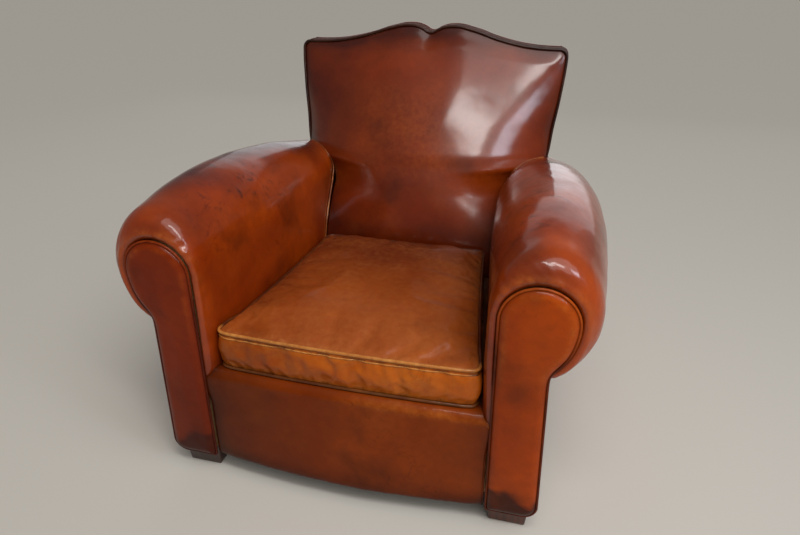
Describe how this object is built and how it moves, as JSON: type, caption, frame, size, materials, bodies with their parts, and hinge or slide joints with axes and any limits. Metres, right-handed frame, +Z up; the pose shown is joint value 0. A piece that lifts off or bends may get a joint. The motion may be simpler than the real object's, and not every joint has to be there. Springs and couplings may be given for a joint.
{
  "type": "club chair",
  "caption": "Leather club chair with rolled arms, a shaped raked back with a two-lobed crest, piped edges and a loose seat cushion.",
  "frame": {"origin": "on the floor under the middle of the chair's bounding box", "axes": "+Z up; the front of the chair looks along -Y; +X is to the right of a person who stands in front and faces the chair, so names with right are on +X"},
  "size_m": [0.9302, 0.8683, 0.849],
  "materials": {
    "body_leather": "polished aniline leather, cognac, with a patina",
    "cushion_leather": "softer tan leather with worn, lighter edges",
    "piping_leather": "very dark brown piping",
    "deck_leather": "dull dark leather under the cushion",
    "foot_wood": "dark stained beech, satin",
    "beech": "planed beech, bare",
    "horsehair": "curled hair under wadding",
    "cushion_filling": "feather and foam in a ticking case",
    "jute": "plain woven jute",
    "black_cotton": "black cotton cloth and tape",
    "spring_steel": "coppered and oiled wire, plain screws",
    "zip_brass": "aged brass"
  },
  "bodies": {
    "frame": {"front_rail": "beech", "back_rail": "beech", "side_rail_left": "beech", "side_rail_right": "beech", "corner_blocks": "beech", "front_post_left": "beech", "front_post_right": "beech", "arm_board_left": "beech", "arm_board_right": "beech", "arm_top_rail_left": "beech", "arm_top_rail_right": "beech", "arm_tacking_rail_left": "beech", "arm_tacking_rail_right": "beech", "back_post_left": "beech", "back_post_right": "beech", "crest_rail": "beech", "back_tacking_rail": "beech", "foot_front_left": "foot_wood", "foot_front_right": "foot_wood", "foot_back_left": "foot_wood", "foot_back_right": "foot_wood", "foot_screws": "spring_steel", "seat_webbing": "jute", "seat_springs": "spring_steel", "seat_hessian": "jute", "deck_pad": "horsehair", "deck_cover": "deck_leather", "dust_cover": "black_cotton", "border_pad": "horsehair", "front_border": "body_leather", "arm_pad_left": "horsehair", "arm_pad_right": "horsehair", "arm_cover_left": "body_leather", "arm_cover_right": "body_leather", "facing_left": "body_leather", "facing_right": "body_leather", "facing_piping_left": "piping_leather", "facing_piping_right": "piping_leather", "outside_arm_left": "body_leather", "outside_arm_right": "body_leather", "back_pad": "horsehair", "inside_back": "body_leather", "back_band": "body_leather", "back_piping": "piping_leather", "outside_back": "body_leather"},
    "seat_cushion": {"cushion_cover": "cushion_leather", "cushion_core": "cushion_filling", "cushion_piping_top": "cushion_leather", "cushion_piping_bottom": "cushion_leather", "zip_tape": "black_cotton"},
    "zip_slider": {"zip_slider": "zip_brass", "zip_pull": "zip_brass"}
  },
  "joints": [
    {"name": "cushion_lift", "type": "slide", "parent": "frame", "child": "seat_cushion", "axis": [0, -0.5, 0.866], "range_m": [0, 0.45]},
    {"name": "zip_slide", "type": "slide", "parent": "seat_cushion", "child": "zip_slider", "axis": [-1, 0, 0], "range_m": [0, 0.282]}
  ]
}
